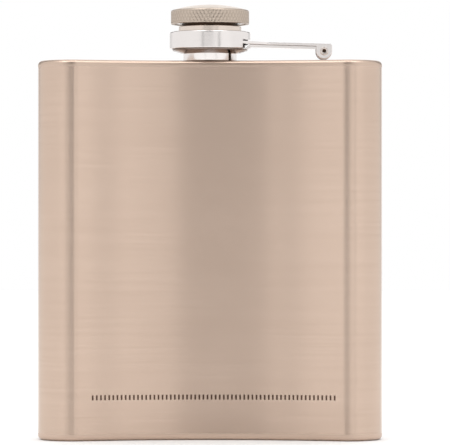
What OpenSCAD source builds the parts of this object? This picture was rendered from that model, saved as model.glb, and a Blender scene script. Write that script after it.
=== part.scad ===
// Hip flask with a captive screw cap on a hinged two-strip arm.
// Origin: the axis of the neck on the base. +Z is up, the hollow front faces -Y, the hinge lies towards +X.

/* [Body] */
// Width across the two rounded ends
body_w = 94; // [86:1:100]
// Height from the base to the top plate
body_h = 103.3; // [80:0.1:130]
// Thickness at the middle of the width
mid_t = 19.4; // [18.5:0.1:21]
// How far the front is hollowed between the two bends
dish = 5.8; // [4.5:0.1:6.5]
// Radius of the rounded ends
end_r = 9.7; // [9:0.1:10.5]
// Radius of the two bends at the front
bend_r = 5.5; // [4.5:0.1:7]
// Thickness of the rolled sheet
wall_t = 0.5; // [0.4:0.05:0.7]

/* [End plates] */
// Thickness of the pressed plates
plate_t = 0.6; // [0.5:0.05:0.8]
// Radius of their rounded edge
edge_r = 1.2; // [1:0.1:1.8]
// Height of their straight rim below the rounded edge
rim_h = 0.6; // [0.4:0.1:1]

/* [Neck] */
// Diameter of the pouring bore
bore_d = 10; // [8:0.1:10.4]
// Diameter of the journal that the neck arm turns on
journal_d = 13.3; // [13:0.05:13.4]
// Height of the journal above the top plate
journal_h = 2.85; // [2.8:0.05:2.9]
// Diameter of the bead that keeps the arm on the journal
bead_d = 14; // [13.8:0.05:14.05]
// Height of the bead
bead_h = 0.45; // [0.3:0.05:0.5]
// Height of the spout above the top plate
spout_h = 8.9; // [8.5:0.1:9]
// Diameter of the spout between the threads
root_d = 12.2; // [11.5:0.1:12.4]
// Outside diameter of the thread
thread_d = 13.2; // [12.8:0.1:13.3]
// Rise of the thread for one turn
pitch = 2; // [1.5:0.25:2]
// Diameter of the weld flange under the top plate
flange_d = 16.4; // [15:0.2:17]
// Thickness of the weld flange
flange_t = 0.8; // [0.6:0.1:1.2]

/* [Arms] */
// Distance from the neck axis to the hinge rivet
reach = 31.3; // [28:0.1:33]
// Height of the rivet above the top plate
pin_h = 2.9; // [2.85:0.05:3]
// Thickness of the two strips
strip_t = 0.7; // [0.5:0.05:0.8]
// Width of the upper strip, outside the hinge cheeks
strip_w = 7; // [6:0.1:8]
// How much higher the strips are at the cap than at the hinge
strip_rise = 0.6; // [0:0.05:0.7]
// Radius of the hinge cheeks
cheek_r = 2.2; // [1.9:0.05:2.3]
// Radius of the rivet's shank
pin_r = 0.75; // [0.7:0.01:0.8]
// Radius of the hole in the rivet's front end
pin_hole_r = 0.5; // [0.4:0.01:0.55]
// Depth of that hole
pin_hole_h = 1.5; // [1:0.1:3]
// Radius of the rivet's rolled heads
pin_head_r = 1.15; // [1:0.05:1.3]
// Thickness of the rivet's heads
pin_head_t = 0.35; // [0.2:0.05:0.4]

/* [Neck ring] */
// Outside diameter of the split sleeve round the neck
sleeve_d = 14.8; // [14.6:0.1:15]
// Outside diameter of the dished ring above the sleeve
ring_d = 20.6; // [20:0.1:20.7]
// How much the ring rises from the sleeve to its edge
ring_rise = 0.8; // [0.4:0.05:0.85]
// Thickness of the dished ring
ring_t = 0.5; // [0.4:0.05:0.55]
// Width of the split in the sleeve
split_w = 1; // [0.6:0.1:1.4]
// Angle of the split from the hinge side, towards the front
split_angle = 43; // [20:1:160]

/* [Collar] */
// Outside diameter of the collar
collar_d = 22.4; // [22:0.1:23]
// Height of the collar
collar_h = 4.75; // [4.6:0.05:4.9]
// Gap between the top plate and the collar
collar_gap = 3.5; // [3.45:0.05:3.55]
// Thickness of the collar
collar_t = 0.7; // [0.6:0.05:0.8]
// Radius of the collar's top edge
collar_edge_r = 0.4; // [0.3:0.1:0.6]
// Width of the opening in the collar for the strips
notch_w = 13.4; // [12:0.1:14]
// Height of that opening
notch_h = 2.5; // [2.4:0.1:2.7]

/* [Cap] */
// Outside diameter of the knurled head
head_d = 21.5; // [20:0.1:22]
// Height of the head's side, up to the edge of the dome
head_h = 3.9; // [3.5:0.1:5]
// Rise of the domed top
dome_rise = 1.5; // [0.8:0.1:1.8]
// Radius of the head's top edge
head_edge_r = 0.5; // [0.3:0.1:0.8]
// Thickness of the head's shell
head_t = 0.95; // [0.8:0.05:1.2]
// Diameter of the barrel
barrel_d = 17.3; // [17.1:0.05:17.4]
// Inside diameter of the barrel
barrel_bore_d = 14.2; // [14.15:0.05:14.3]
// Gap between the top plate and the head
head_gap = 10.4; // [10.3:0.05:10.6]
// Diameter of the undercut below the head
undercut_d = 15.4; // [15.2:0.1:16.2]
// Height of the undercut
undercut_h = 0.65; // [0.5:0.05:0.8]
// Gap between the top plate and the barrel
barrel_gap = 3.25; // [3.2:0.05:3.3]
// How far the cap rises in the collar as it is unscrewed
lift = 3; // [2:0.1:3]
// Outside diameter of the clip that keeps the cap in the collar
clip_d = 19.4; // [19:0.1:19.6]
// Thickness of the clip
clip_t = 0.56; // [0.5:0.02:0.6]
// Thickness of the seal
seal_t = 1; // [0.8:0.1:1.2]

/* [Hidden] */

steel = [0.84, 0.75, 0.68];
polished = [0.88, 0.84, 0.80];
fine = 96;   // facets of a small circle
broad = 360; // facets of the large circles of the body
lap = 0.4;   // overlap between shapes that are joined or cut
edge_steps = 5; // steps in the rounded edge of an end plate

// Plan of the body: a back arc, a hollow front arc, two ends and two bends, each tangent to the next
half_w = body_w / 2;
end_x = half_w - end_r;
front_y = -mid_t / 2;
lobe_y = front_y - dish;
end_y = lobe_y + end_r;
bend_y = lobe_y + bend_r;
back_span = mid_t + dish - end_r;
back_r = (end_x ^ 2 + back_span ^ 2 - end_r ^ 2) / (2 * (back_span - end_r));
back_y = mid_t / 2 - back_r;
hollow_r = (end_x ^ 2 + dish ^ 2 - 2 * bend_r * dish) / (2 * dish);
hollow_y = front_y - hollow_r;
back_a = asin(end_x / (back_r - end_r));
hollow_a = asin(end_x / (hollow_r + bend_r));

plate_h = edge_r + rim_h;

// Neck, from the top plate up
journal_z = body_h + journal_h;
spout_z = body_h + spout_h;
ridges = 2;
ridge_base = 1.2;
ridge_crest = 0.4;
ridge_drop = 1.1; // from the rim down to the middle of the highest ridge
ridge_z = spout_z - ridge_drop;

// Hinge and strips. The two strips lie flat on each other, and the lower one rolls round the rivet.
pin_z = body_h + pin_h;
turn_gap = 0.05; // radial play of everything that turns
side_gap = 0.1; // play at each side of the knuckle, and round the seal
knuckle_wall = 0.45;
knuckle_hole_r = pin_r + turn_gap;
knuckle_r = knuckle_hole_r + knuckle_wall;
knuckle_w = strip_w - 2 * strip_t - 2 * side_gap;
lower_z = pin_z + knuckle_r - strip_t;
upper_z = pin_z + knuckle_r + turn_gap;
cheek_corner_r = cheek_r + 0.5; // reach of the two upper corners of a cheek, less than pin_h
// The upper strip ends flush with those corners, so that nothing meets the top plate as the arm swings
strip_end_x = reach + sqrt(cheek_corner_r ^ 2 - (upper_z + strip_t - pin_z) ^ 2);

// Neck ring
sleeve_r = sleeve_d / 2;
ring_r = ring_d / 2;
sleeve_in_r = journal_d / 2 + turn_gap;
sleeve_gap = 0.15; // between the top plate and the sleeve
sleeve_z = body_h + sleeve_gap;
sleeve_edge = 0.35; // chamfer at the sleeve's foot
ring_top_z = journal_z - turn_gap;
ring_low_z = ring_top_z - ring_t;

// Collar
collar_r = collar_d / 2;
collar_in_r = collar_r - collar_t;
collar_z = body_h + collar_gap;
collar_top_z = collar_z + collar_h;
lip_gap = 0.15; // radial play between the barrel and the collar's lip
lip_r = barrel_d / 2 + lip_gap;

// Cap. The clip has play in its groove, and stops against the collar's lip when the cap is unscrewed.
barrel_r = barrel_d / 2;
barrel_bore_r = barrel_bore_d / 2;
barrel_z = body_h + barrel_gap;
clip_play = 0.07;
clip_top_z = collar_top_z - collar_t - lift - turn_gap;
clip_z = clip_top_z - clip_t;
groove_h = 0.5; // depth of the clip's groove
groove_r = barrel_r - groove_h;
clip_in_r = groove_r + clip_play;
clip_gap_w = 4;
seal_z = spout_z + turn_gap;
seal_top_z = seal_z + seal_t + turn_gap;
head_r = head_d / 2;
head_z = body_h + head_gap;
head_in_r = head_r - head_t;
dome_r = ((head_r - head_edge_r) ^ 2 + dome_rise ^ 2) / (2 * dome_rise);
disc_drop = 0.2; // how deep the disc sits in the head that is pressed on it
disc_z = head_z + disc_drop;
disc_h = 1.6;

// The same shape on both sides of the width
module both_sides() {
    for (flip = [0, 1]) mirror([flip, 0, 0]) children();
}

// Plan of the body, drawn smaller by inset all round
module outline(inset) {
    wedge = [
        [end_x + 2 * end_r * sin(back_a), end_y + 2 * end_r * cos(back_a)],
        [end_x, end_y],
        [end_x, bend_y],
        [end_x - 2 * bend_r * sin(hollow_a), bend_y - 2 * bend_r * cos(hollow_a)]
    ];
    difference() {
        intersection() {
            translate([0, back_y]) circle(back_r - inset, $fn = broad);
            polygon(concat(wedge, [for (i = [3:-1:0]) [-wedge[i][0], wedge[i][1]]]));
        }
        translate([0, hollow_y]) circle(hollow_r + inset, $fn = broad);
    }
    both_sides() {
        translate([end_x, bend_y]) circle(bend_r - inset, $fn = fine);
        intersection() {
            translate([end_x, end_y]) circle(end_r - inset, $fn = fine);
            translate([end_x, lobe_y]) square([end_r, mid_t + dish]);
        }
    }
}

// Slab of the body's plan, its top edge rounded off in fine steps that keep the plan's true arcs
module rounded_slab(r, h) {
    linear_extrude(h - r) outline(0);
    for (i = [0:edge_steps - 1])
        linear_extrude(h - r + r * sin(90 * (i + 1) / edge_steps))
            outline(r * (1 - cos(90 * (i + 0.5) / edge_steps)));
}

// Pressed end plate: a shallow tray with its open side down
module end_plate() {
    difference() {
        rounded_slab(edge_r, plate_h);
        translate([0, 0, -lap]) linear_extrude(lap + plate_h - plate_t) outline(plate_t);
    }
}

module body_shell() {
    color(steel) translate([0, 0, plate_h]) linear_extrude(body_h - 2 * plate_h)
        difference() {
            outline(0);
            outline(wall_t);
        }
}

module top_plate() {
    color(steel) difference() {
        translate([0, 0, body_h - plate_h]) end_plate();
        translate([0, 0, body_h - plate_h]) cylinder(r = journal_d / 2, h = 2 * plate_h, $fn = fine);
    }
}

module bottom_plate() {
    color(steel) translate([0, 0, plate_h]) mirror([0, 0, 1]) end_plate();
}

// Spout with its weld flange below the top plate. Plain ridges stand for the turns of the thread.
module neck_spout() {
    root_r = root_d / 2;
    flange_z = body_h - plate_t - flange_t;
    color(polished) difference() {
        rotate_extrude($fn = fine) {
            translate([0, flange_z]) square([flange_d / 2, flange_t]);
            translate([0, flange_z]) square([journal_d / 2, journal_z - flange_z]);
            translate([0, journal_z]) square([bead_d / 2, bead_h]);
            translate([0, journal_z]) square([root_r, spout_z - journal_z]);
            for (i = [0:ridges - 1])
                translate([0, ridge_z - i * pitch])
                    polygon([
                        [root_r - lap, -ridge_base / 2],
                        [root_r, -ridge_base / 2],
                        [thread_d / 2, -ridge_crest / 2],
                        [thread_d / 2, ridge_crest / 2],
                        [root_r, ridge_base / 2],
                        [root_r - lap, ridge_base / 2]
                    ]);
        }
        translate([0, 0, flange_z - lap])
            cylinder(d = bore_d, h = spout_z - flange_z + 2 * lap, $fn = fine);
    }
}

// Height of a strip at x: it is z at the hinge, and rises in a straight line towards the collar
function strip_z(z, x) = z + strip_rise * (reach - x) / (reach - collar_r);

// Height of the dished ring at x: it is z at the sleeve, and rises in a straight line to the ring's edge
function ring_z(z, x) = z + ring_rise * (x - sleeve_r) / (ring_r - sleeve_r);

// Lower arm: rolled knuckle, strip, step down to the dished ring inside the collar, and split sleeve
module neck_arm() {
    root_x = sleeve_r + 0.6; // the strip overlaps the ring from here
    foot_x = root_x + 1;     // the step starts here
    step_x = collar_r - 0.2; // and ends here
    bend = 0.4;              // how much further out the step's underside is
    color(polished) difference() {
        union() {
            rotate_extrude($fn = fine) polygon([
                [sleeve_in_r, sleeve_z],
                [sleeve_r - sleeve_edge, sleeve_z],
                [sleeve_r, sleeve_z + sleeve_edge],
                [sleeve_r, ring_low_z],
                [ring_r, ring_low_z + ring_rise],
                [ring_r, ring_top_z + ring_rise],
                [sleeve_r, ring_top_z],
                [sleeve_in_r, ring_top_z]
            ]);
            translate([0, knuckle_w / 2, 0]) rotate([90, 0, 0]) linear_extrude(knuckle_w) {
                translate([reach, pin_z]) circle(knuckle_r, $fn = fine);
                polygon([
                    [root_x, ring_z(ring_low_z, root_x)],
                    [foot_x + bend, ring_z(ring_low_z, foot_x + bend)],
                    [step_x + bend, strip_z(lower_z, step_x + bend)],
                    [reach, lower_z],
                    [reach, lower_z + strip_t],
                    [step_x, strip_z(lower_z, step_x) + strip_t],
                    [foot_x, ring_z(ring_top_z, foot_x)],
                    [root_x, ring_z(ring_top_z, root_x)]
                ]);
            }
        }
        translate([reach, 0, pin_z]) rotate([90, 0, 0])
            cylinder(r = knuckle_hole_r, h = 2 * strip_w, center = true, $fn = fine);
        rotate([0, 0, -split_angle]) translate([sleeve_in_r - lap, -split_w / 2, sleeve_z - lap])
            cube([sleeve_r - sleeve_in_r + 2 * lap, split_w, ring_low_z - sleeve_z + lap]);
    }
}

// Collar drawn from the upper strip: a short tube with a lip, open below and cut away for the strips
module collar() {
    difference() {
        rotate_extrude($fn = fine) translate([0, collar_z]) difference() {
            union() {
                square([collar_r, collar_h - collar_edge_r]);
                square([collar_r - collar_edge_r, collar_h]);
                intersection() {
                    translate([collar_r - collar_edge_r, collar_h - collar_edge_r])
                        circle(collar_edge_r, $fn = fine);
                    square([collar_r, collar_h]);
                }
            }
            square([collar_in_r, collar_h - collar_t]);
            square([lip_r, collar_h + lap]);
        }
        translate([0, -notch_w / 2, collar_z - lap]) cube([collar_r + lap, notch_w, notch_h + lap]);
    }
}

// Plan of the upper strip, wide enough at the collar to join both sides of its opening
module strip_plan() {
    root_x = sqrt(collar_in_r ^ 2 - (notch_w / 2) ^ 2);
    root_y = notch_w / 2 + lap;
    flare_x = collar_r + 4.5; // the strip is as wide as at the hinge from here
    difference() {
        polygon([
            [root_x - lap, -root_y],
            [root_x + lap, -root_y],
            [flare_x, -strip_w / 2],
            [strip_end_x, -strip_w / 2],
            [strip_end_x, strip_w / 2],
            [flare_x, strip_w / 2],
            [root_x + lap, root_y],
            [root_x - lap, root_y]
        ]);
        circle(collar_in_r, $fn = fine);
    }
}

// Hinge cheek seen from the front: round below and flat above, level with the strip
module cheek_face() {
    intersection() {
        union() {
            circle(cheek_r, $fn = fine);
            translate([-cheek_r, 0]) square([2 * cheek_r, upper_z + strip_t - pin_z]);
        }
        circle(cheek_corner_r, $fn = fine);
    }
}

// Upper arm: collar, strip and two folded cheeks
module cap_arm() {
    color(polished) {
        difference() {
            union() {
                collar();
                intersection() {
                    translate([0, 0, body_h]) linear_extrude(collar_gap + collar_h) strip_plan();
                    translate([0, strip_w, 0]) rotate([90, 0, 0]) linear_extrude(2 * strip_w) polygon([
                        [0, strip_z(upper_z, 0)],
                        [reach, upper_z],
                        [strip_end_x, upper_z],
                        [strip_end_x, upper_z + strip_t],
                        [reach, upper_z + strip_t],
                        [0, strip_z(upper_z, 0) + strip_t]
                    ]);
                }
                for (side = [-1, 1])
                    translate([reach, side * (strip_w - strip_t) / 2, pin_z]) rotate([90, 0, 0])
                        linear_extrude(strip_t, center = true) cheek_face();
            }
            translate([reach, 0, pin_z]) rotate([90, 0, 0])
                cylinder(r = pin_r, h = 2 * strip_w, center = true, $fn = fine);
        }
    }
}

// Rivet with a head at each end, its front end hollow
module hinge_rivet() {
    color(polished) translate([reach, 0, pin_z]) rotate([90, 0, 0]) difference() {
        union() {
            cylinder(r = pin_r, h = strip_w, center = true, $fn = fine);
            for (side = [-1, 1])
                translate([0, 0, side * (strip_w + pin_head_t) / 2])
                    cylinder(r = pin_head_r, h = pin_head_t, center = true, $fn = fine);
        }
        translate([0, 0, strip_w / 2 + pin_head_t - pin_hole_h])
            cylinder(r = pin_hole_r, h = pin_hole_h + lap, $fn = fine);
    }
}

// Spring clip in the groove of the barrel, open at the back
module cap_clip() {
    color(polished) translate([0, 0, clip_z]) difference() {
        cylinder(d = clip_d, h = clip_t, $fn = fine);
        translate([0, 0, -lap]) cylinder(r = clip_in_r, h = clip_t + 2 * lap, $fn = fine);
        translate([-clip_gap_w / 2, 0, -lap]) cube([clip_gap_w, clip_d, clip_t + 2 * lap]);
    }
}

// Turned barrel: groove for the clip, undercut, and a disc that the head is pressed on
module cap_barrel() {
    undercut_z = head_z - undercut_h;
    undercut_r = undercut_d / 2;
    top_z = disc_z + disc_h;
    color(polished) difference() {
        rotate_extrude($fn = fine) {
            difference() {
                translate([0, barrel_z]) square([barrel_r, undercut_z - barrel_z]);
                translate([groove_r, clip_z - clip_play])
                    square([groove_h + lap, clip_t + 2 * clip_play]);
            }
            translate([0, barrel_z]) square([undercut_r, top_z - barrel_z]);
            translate([0, disc_z]) square([head_in_r, disc_h]);
        }
        translate([0, 0, barrel_z - lap])
            cylinder(r = barrel_bore_r, h = seal_top_z - barrel_z + lap, $fn = fine);
    }
}

// Knurled head: a hollow shell with a shallow dome. The cylinder is the knurl's outside diameter.
module cap_head() {
    flat_r = head_r - head_edge_r;
    color(steel) rotate_extrude($fn = fine) translate([0, head_z]) difference() {
        union() {
            square([head_r, head_h - head_edge_r]);
            square([flat_r, head_h]);
            intersection() {
                translate([flat_r, head_h - head_edge_r]) circle(head_edge_r, $fn = fine);
                square([head_r, head_h]);
            }
            intersection() {
                translate([0, head_h + dome_rise - dome_r]) circle(dome_r, $fn = broad);
                square([flat_r, head_h + dome_rise]);
            }
        }
        square([head_in_r, head_h - head_t]);
    }
}

module cap_seal() {
    color("white") translate([0, 0, seal_z])
        cylinder(r = barrel_bore_r - side_gap, h = seal_t, $fn = fine);
}

body_shell();
top_plate();
bottom_plate();
neck_spout();
neck_arm();
cap_arm();
hinge_rivet();
cap_clip();
cap_barrel();
cap_head();
cap_seal();
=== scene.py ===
"""Visual model of a steel hip flask with a captive screw cap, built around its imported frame.

Lengths in the classes are millimetres, on the frame's own axes: +Z is up, the hollow front faces -Y and the
hinge lies towards +X. A mesh becomes metres when its piece is fitted to its body.
"""

import logging
import math
from collections.abc import Callable, Iterable, Sequence
from dataclasses import dataclass, field
from enum import Enum

import bmesh
import bpy
from mathutils import Matrix, Vector


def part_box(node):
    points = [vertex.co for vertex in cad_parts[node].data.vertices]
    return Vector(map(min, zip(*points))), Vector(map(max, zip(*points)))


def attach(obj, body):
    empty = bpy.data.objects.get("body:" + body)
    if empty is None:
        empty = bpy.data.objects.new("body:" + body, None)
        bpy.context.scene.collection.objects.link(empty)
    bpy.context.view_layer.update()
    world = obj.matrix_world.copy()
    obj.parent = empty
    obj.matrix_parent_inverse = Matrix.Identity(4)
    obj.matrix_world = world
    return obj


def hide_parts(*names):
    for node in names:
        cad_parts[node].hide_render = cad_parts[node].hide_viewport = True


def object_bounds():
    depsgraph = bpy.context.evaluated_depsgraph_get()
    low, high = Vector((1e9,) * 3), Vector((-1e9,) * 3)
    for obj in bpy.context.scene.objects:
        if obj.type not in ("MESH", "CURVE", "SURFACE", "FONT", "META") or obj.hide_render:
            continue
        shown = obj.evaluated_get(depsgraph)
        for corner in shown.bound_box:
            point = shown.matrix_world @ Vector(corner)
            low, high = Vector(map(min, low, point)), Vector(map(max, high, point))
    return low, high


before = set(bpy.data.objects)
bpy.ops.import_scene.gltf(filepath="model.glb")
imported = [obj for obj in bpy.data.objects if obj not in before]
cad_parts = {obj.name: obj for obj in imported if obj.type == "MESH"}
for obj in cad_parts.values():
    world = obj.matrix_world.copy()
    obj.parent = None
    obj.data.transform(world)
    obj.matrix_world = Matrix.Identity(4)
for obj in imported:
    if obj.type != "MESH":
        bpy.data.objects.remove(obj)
CAD_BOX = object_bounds()

MM = 0.001
TINY = 1e-6
AROUND = 192  # faces round a turned piece
EDGE_STEPS = 4  # faces across the rounded edge of a sheet

Point = tuple[float, float]
Corner = tuple[float, float, float]
Place = tuple[float, float, float]
Colour = tuple[float, float, float, float]

log = logging.getLogger("hip_flask")


# Outlines


def arc(centre: Point, radius: float, start: float, end: float, steps: int) -> list[Point]:
    """Points of a circular arc.

    Args:
        centre: Middle of the circle.
        radius: Radius of the circle.
        start: Angle of the first point, in degrees.
        end: Angle of the last point, in degrees.
        steps: How many parts the arc is divided into.

    Returns:
        The points, both ends included.
    """
    angles = (math.radians(start + (end - start) * i / steps) for i in range(steps + 1))
    return [(centre[0] + radius * math.cos(a), centre[1] + radius * math.sin(a)) for a in angles]


def soften(corners: Sequence[Corner], steps: int = 5) -> list[Point]:
    """Rounds the corners of a closed outline.

    Args:
        corners: The two coordinates and the rounding radius of each corner, in order.
        steps: How many parts a rounded corner is divided into.

    Returns:
        The points of the outline. A corner of radius 0 stays one point.
    """
    points: list[Point] = []
    for i, (u, v, radius) in enumerate(corners):
        if radius <= 0:
            points.append((u, v))
            continue
        here = Vector((u, v))
        back = (Vector(corners[i - 1][:2]) - here).normalized()
        ahead = (Vector(corners[(i + 1) % len(corners)][:2]) - here).normalized()
        half = back.angle(ahead) / 2
        centre = here + (back + ahead).normalized() * radius / math.sin(half)
        first, last = (here + side * radius / math.tan(half) - centre for side in (back, ahead))
        start, end = (math.degrees(math.atan2(p.y, p.x)) for p in (first, last))
        sweep = (end - start + 180) % 360 - 180
        points += arc(tuple(centre), radius, start, start + sweep, steps)
    return points


def drawn_in(outline: Sequence[Point], distance: float) -> list[Point]:
    """Moves a closed outline inwards.

    Args:
        outline: The points, either way round.
        distance: How far each side moves.

    Returns:
        As many points as the outline has, each moved across its two sides.
    """
    loop = [Vector(p) for p in outline]
    area = sum(a.x * b.y - b.x * a.y for a, b in zip(loop, loop[1:] + loop[:1]))
    side = math.copysign(1, area)
    moved = []
    for i, here in enumerate(loop):
        runs = (here - loop[i - 1]).normalized(), (loop[(i + 1) % len(loop)] - here).normalized()
        first, second = (Vector((-run.y, run.x)) * side for run in runs)
        moved.append(tuple(here + (first + second) * distance / (1 + first.dot(second))))
    return moved


def clamped(value: float) -> float:
    """The value kept between 0 and 1."""
    return max(0.0, min(1.0, value))


def levels(low: float, high: float, step: float) -> list[float]:
    """Evenly spaced heights from low to high, about a step apart."""
    count = max(1, round(abs(high - low) / step))
    return [low + (high - low) * i / count for i in range(count + 1)]


# Meshes


class Lie(Enum):
    """How a flat outline lies: its two coordinates and the axis of its thickness."""

    LEVEL = "drawn in X and Y, thick along Z"
    UPRIGHT = "drawn in X and Z, thick along Y"


class Cut(Enum):
    """What a boolean does with a piece and its tools."""

    JOIN = "UNION"
    REMOVE = "DIFFERENCE"


class Draft:
    """Points and faces of one closed surface, in millimetres."""

    def __init__(self) -> None:
        """Starts with nothing drawn."""
        self.points: list[Place] = []
        self.faces: list[tuple[int, ...]] = []

    def loop(self, places: Iterable[Place]) -> list[int]:
        """Adds points and returns their numbers."""
        first = len(self.points)
        self.points.extend(places)
        return list(range(first, len(self.points)))

    def skin(self, first: Sequence[int], second: Sequence[int]) -> None:
        """Joins two closed loops with a band of faces. A loop of one point makes a fan."""
        count = max(len(first), len(second))
        for i in range(count):
            j = (i + 1) % count
            pairs = (first, i), (first, j), (second, j), (second, i)
            corners = [loop[k % len(loop)] for loop, k in pairs]
            self.faces.append(tuple(dict.fromkeys(corners)))

    def stack(self, loops: Sequence[Sequence[int]], closed: bool) -> None:
        """Joins each loop to the next, and the last to the first if closed."""
        for first, second in zip(loops, loops[1:]):
            self.skin(first, second)
        if closed:
            self.skin(loops[-1], loops[0])

    def make(self, name: str) -> bpy.types.Object:
        """Makes a mesh object of the surface, its faces turned outwards."""
        mesh = bpy.data.meshes.new(name)
        mesh.from_pydata(self.points, [], self.faces)
        shape = bmesh.new()
        shape.from_mesh(mesh)
        bmesh.ops.recalc_face_normals(shape, faces=shape.faces)
        shape.to_mesh(mesh)
        shape.free()
        thing = bpy.data.objects.new(name, mesh)
        bpy.context.scene.collection.objects.link(thing)
        return thing


def turned(
    name: str,
    chain: Sequence[Point],
    around: int = AROUND,
    swell: Callable[[float, float, float], float] | None = None,
) -> bpy.types.Object:
    """Turns a profile round Z.

    Args:
        name: Name of the piece.
        chain: Radius and height of each point. Its two ends are both on the axis, or it closes on itself.
        around: How many faces go round.
        swell: Radius wanted at a radius, height and angle, or None where the piece is plain.

    Returns:
        The turned piece.
    """
    draft = Draft()
    angles = [2 * math.pi * i / around for i in range(around)]
    loops = []
    for radius, height in chain:
        if radius < TINY:
            loops.append(draft.loop([(0, 0, height)]))
            continue
        reach = [swell(radius, height, a) if swell else radius for a in angles]
        loops.append(draft.loop((r * math.cos(a), r * math.sin(a), height) for r, a in zip(reach, angles)))
    draft.stack(loops, closed=chain[0][0] > TINY)
    return draft.make(name)


def slab(
    name: str,
    outline: Sequence[Point],
    low: float,
    high: float,
    edge: float = 0,
    lie: Lie = Lie.LEVEL,
) -> bpy.types.Object:
    """Cuts a sheet to an outline and rounds its edges.

    Args:
        name: Name of the piece.
        outline: Closed outline of the sheet.
        low: Where the thickness starts.
        high: Where the thickness ends.
        edge: Radius of the rounded edges, or 0 for square ones.
        lie: How the sheet lies.

    Returns:
        The sheet as a closed solid.
    """
    draft = Draft()
    count = EDGE_STEPS if edge > 0 else 0
    turns = [math.radians(90 * i / count) for i in range(count + 1)] if count else [math.pi / 2]
    rim = [(edge * (1 - math.sin(t)), edge * (1 - math.cos(t))) for t in turns]
    steps = [(inset, low + rise) for inset, rise in rim]
    steps += [(inset, high - rise) for inset, rise in reversed(rim)]
    loops = []
    for inset, depth in steps:
        points = drawn_in(outline, inset) if inset else outline
        loops.append(draft.loop((u, v, depth) if lie is Lie.LEVEL else (u, depth, v) for u, v in points))
    draft.stack(loops, closed=False)
    draft.faces += [tuple(loops[0]), tuple(loops[-1])]
    return draft.make(name)


def block(name: str, near: Place, far: Place) -> bpy.types.Object:
    """Square-edged block between two opposite corners, used to cut."""
    (left, front, low), (right, back, high) = near, far
    return slab(name, [(left, front), (right, front), (right, back), (left, back)], low, high)


def worked(piece: bpy.types.Object, cut: Cut, *tools: bpy.types.Object) -> bpy.types.Object:
    """Joins tools to a piece or cuts them out of it, and removes the tools."""
    for tool in tools:
        step = piece.modifiers.new(tool.name, "BOOLEAN")
        step.operation = cut.value
        step.solver = "MANIFOLD"
        step.object = tool
    graph = bpy.context.evaluated_depsgraph_get()
    mesh = bpy.data.meshes.new_from_object(piece.evaluated_get(graph), depsgraph=graph)
    piece.modifiers.clear()
    piece.data = mesh
    for tool in tools:
        bpy.data.objects.remove(tool)
    return piece


def laid_over(piece: bpy.types.Object, at: Place) -> bpy.types.Object:
    """Turns a piece made round Z so that its axis is Y, and puts its middle at a place."""
    piece.data.transform(Matrix.Translation(at) @ Matrix.Rotation(math.pi / 2, 4, "X"))
    return piece


def fitted(
    piece: bpy.types.Object,
    body: str,
    finish: bpy.types.Material,
    node: str,
    crease: float = 32,
) -> bpy.types.Object:
    """Finishes a piece and puts it on its body.

    Args:
        piece: The piece, in millimetres.
        body: Body that it rides on.
        finish: Material of the whole piece.
        node: Frame node that the piece stands for.
        crease: Angle from which an edge stays sharp, in degrees.

    Returns:
        The piece, in metres.
    """
    piece.data.transform(Matrix.Scale(MM, 4))
    piece.data.shade_smooth()
    piece.data.set_sharp_from_angle(angle=math.radians(crease))
    normals = piece.modifiers.new("even_shading", "WEIGHTED_NORMAL")
    normals.keep_sharp = True
    piece.data.materials.clear()
    piece.data.materials.append(finish)
    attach(piece, body)
    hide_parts(node)
    log.info("%s rides on %s: %d faces, %s", piece.name, body, len(piece.data.polygons), finish.name)
    return piece


@dataclass(frozen=True)
class Extent:
    """Lowest and highest corner of a frame node, in millimetres."""

    low: Vector
    high: Vector

    @classmethod
    def of(cls, node: str) -> "Extent":
        """Reads a node's box from the frame."""
        low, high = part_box(node)
        return cls(low / MM, high / MM)


def extent_of(node: str) -> Extent:
    """Dataclass field that reads a node's box from the frame."""
    return field(default_factory=lambda: Extent.of(node))


def top_of(node: str) -> float:
    """Dataclass field that reads the height of a node's top from the frame."""
    return field(default_factory=lambda: Extent.of(node).high.z)


# Finishes


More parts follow.
